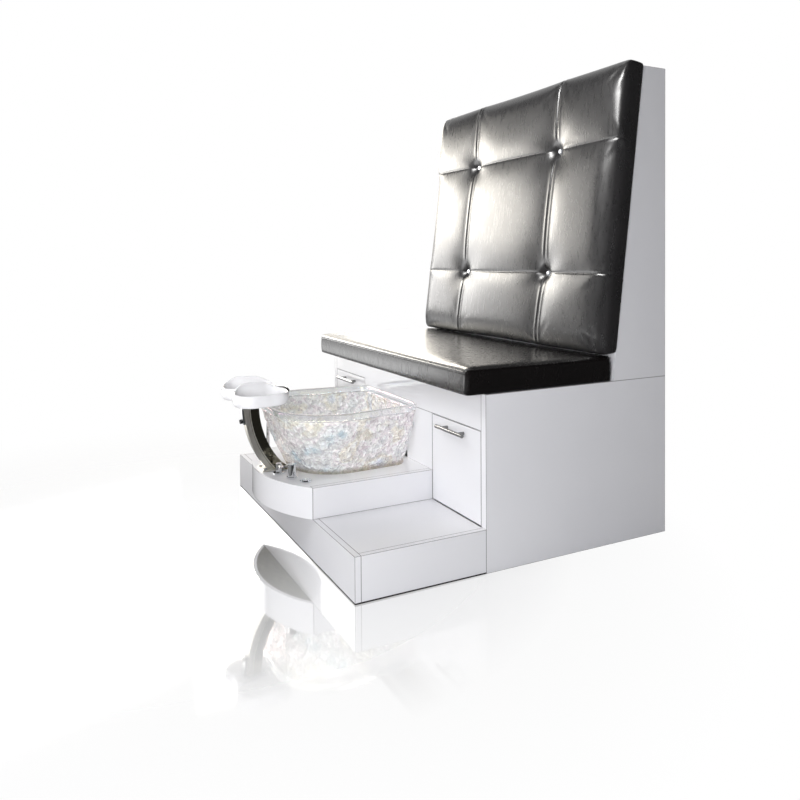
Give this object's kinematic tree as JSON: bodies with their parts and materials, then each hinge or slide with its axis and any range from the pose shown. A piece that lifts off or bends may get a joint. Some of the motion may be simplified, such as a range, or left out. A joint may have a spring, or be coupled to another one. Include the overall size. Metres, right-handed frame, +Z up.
{
  "type": "pedicure bench",
  "caption": "White cabinet bench with tufted back, seat cushion, drawers and a step; a raised platform in front holds a glass foot bowl, water fittings and an adjustable footrest.",
  "frame": {"origin": "floor level, under the middle of the whole bench", "axes": "+Z up, +X towards the sitter's left, which is the picture's right side of the bench, -Y towards the footrest in front"},
  "size_m": [1.16, 1.3048, 1.53],
  "materials": {
    "white_laminate": "white gloss laminate on board",
    "raw_board": "raw plywood",
    "drawer_board": "white melamine board",
    "seat_leather": "smooth semi-gloss upholstery leather",
    "back_leather": "smooth semi-gloss black upholstery leather",
    "crystal_button": "faceted bright button",
    "zinc_steel": "zinc plated",
    "bowl_glass": "crackled clear glass with an iridescent tint",
    "chrome": "polished",
    "pipe_plastic": "white moulded",
    "knob_plastic": "black moulded",
    "cup_plastic": "white gloss moulded",
    "polished_steel": "polished stainless",
    "pipe_brass": "plain"
  },
  "bodies": {
    "bench": {"cabinet_right_side": "white_laminate", "cabinet_left_side": "white_laminate", "cabinet_back_panel": "white_laminate", "cabinet_floor": "white_laminate", "seat_deck": "white_laminate", "front_header": "white_laminate", "front_centre_panel": "white_laminate", "right_partition": "white_laminate", "left_partition": "white_laminate", "step_front_fascia": "white_laminate", "step_right_side": "white_laminate", "step_left_side": "white_laminate", "step_tread": "white_laminate", "platform_deck": "white_laminate", "platform_curved_fascia": "white_laminate", "platform_right_side": "white_laminate", "platform_left_side": "white_laminate", "platform_soffit": "white_laminate", "back_right_cheek": "white_laminate", "back_left_cheek": "white_laminate", "back_top_cap": "white_laminate", "back_front_board": "white_laminate", "back_rear_board": "white_laminate", "seat_cushion_board": "raw_board", "seat_cushion": "seat_leather", "back_cushion_board": "raw_board", "back_cushion": "back_leather", "tuft_buttons": "crystal_button", "slide_rails": "zinc_steel", "bowl": "bowl_glass", "drain_flange": "chrome", "drain_trap": "pipe_plastic", "waste_pipe": "pipe_plastic", "drain_knob_ring": "chrome", "footrest_arm": "polished_steel", "arm_fixings": "polished_steel", "tap_bodies": "chrome", "supply_pipes": "pipe_brass", "water_manifold": "pipe_brass", "sprayer_holder": "chrome", "air_button_ring": "chrome", "spout_base": "chrome"},
    "right_drawer": {"right_drawer_front": "white_laminate", "right_drawer_box": "drawer_board", "right_drawer_slides": "zinc_steel", "right_drawer_handle": "chrome"},
    "left_drawer": {"left_drawer_front": "white_laminate", "left_drawer_box": "drawer_board", "left_drawer_slides": "zinc_steel", "left_drawer_handle": "chrome"},
    "stopper": {"drain_stopper": "chrome"},
    "drain_control": {"drain_knob": "knob_plastic"},
    "footrest": {"footrest_bracket": "polished_steel", "footrest_cups": "cup_plastic"},
    "lock_screw": {"footrest_lock_screw": "knob_plastic"},
    "hot_tap": {"hot_handle": "chrome"},
    "cold_tap": {"cold_handle": "chrome"},
    "swivel_spout": {"spout": "chrome"},
    "hand_sprayer": {"sprayer_head": "chrome"},
    "air_switch": {"air_button": "chrome"}
  },
  "joints": [
    {"name": "right_drawer_slide", "type": "slide", "parent": "bench", "child": "right_drawer", "axis": [0, -1, 0], "range_m": [0, 0.4]},
    {"name": "left_drawer_slide", "type": "slide", "parent": "bench", "child": "left_drawer", "axis": [0, -1, 0], "range_m": [0, 0.4]},
    {"name": "drain_knob_turn", "type": "hinge", "parent": "bench", "child": "drain_control", "pos_m": [0.119, -0.0525, 0.347], "axis": [0, 1, 0], "range_deg": [0, 90.05]},
    {"name": "stopper_lift", "type": "slide", "parent": "bench", "child": "stopper", "axis": [0, 0, 1], "range_m": [0, 0.008]},
    {"name": "footrest_height", "type": "hinge", "parent": "bench", "child": "footrest", "pos_m": [0, -0.2595, 0.44], "axis": [-1, 0, 0], "range_deg": [0, 5]},
    {"name": "lock_screw_turn", "type": "hinge", "parent": "footrest", "child": "lock_screw", "pos_m": [0, -0.59747, 0.38768], "axis": [0, -0.9882, -0.153], "range_deg": [0, 180]},
    {"name": "hot_tap_turn", "type": "hinge", "parent": "bench", "child": "hot_tap", "pos_m": [-0.064, -0.50391, 0.242], "axis": [0, 0, 1], "range_deg": [0, 90]},
    {"name": "cold_tap_turn", "type": "hinge", "parent": "bench", "child": "cold_tap", "pos_m": [0.064, -0.50391, 0.242], "axis": [0, 0, -1], "range_deg": [0, 90]},
    {"name": "spout_swivel", "type": "hinge", "parent": "bench", "child": "swivel_spout", "pos_m": [-0.222, -0.4545, 0.232], "axis": [0, 0, 1], "range_deg": [-40, 30]},
    {"name": "sprayer_lift", "type": "slide", "parent": "bench", "child": "hand_sprayer", "axis": [0, 0, 1], "range_m": [0, 0.04]},
    {"name": "air_button_press", "type": "slide", "parent": "bench", "child": "air_switch", "axis": [0, 0, -1], "range_m": [0, 0.003], "stiffness_N_per_m": 600}
  ],
  "couplings": [
    {"joint": "drain_knob_turn", "follows": "stopper_lift", "rad_per_m": 196.35}
  ]
}
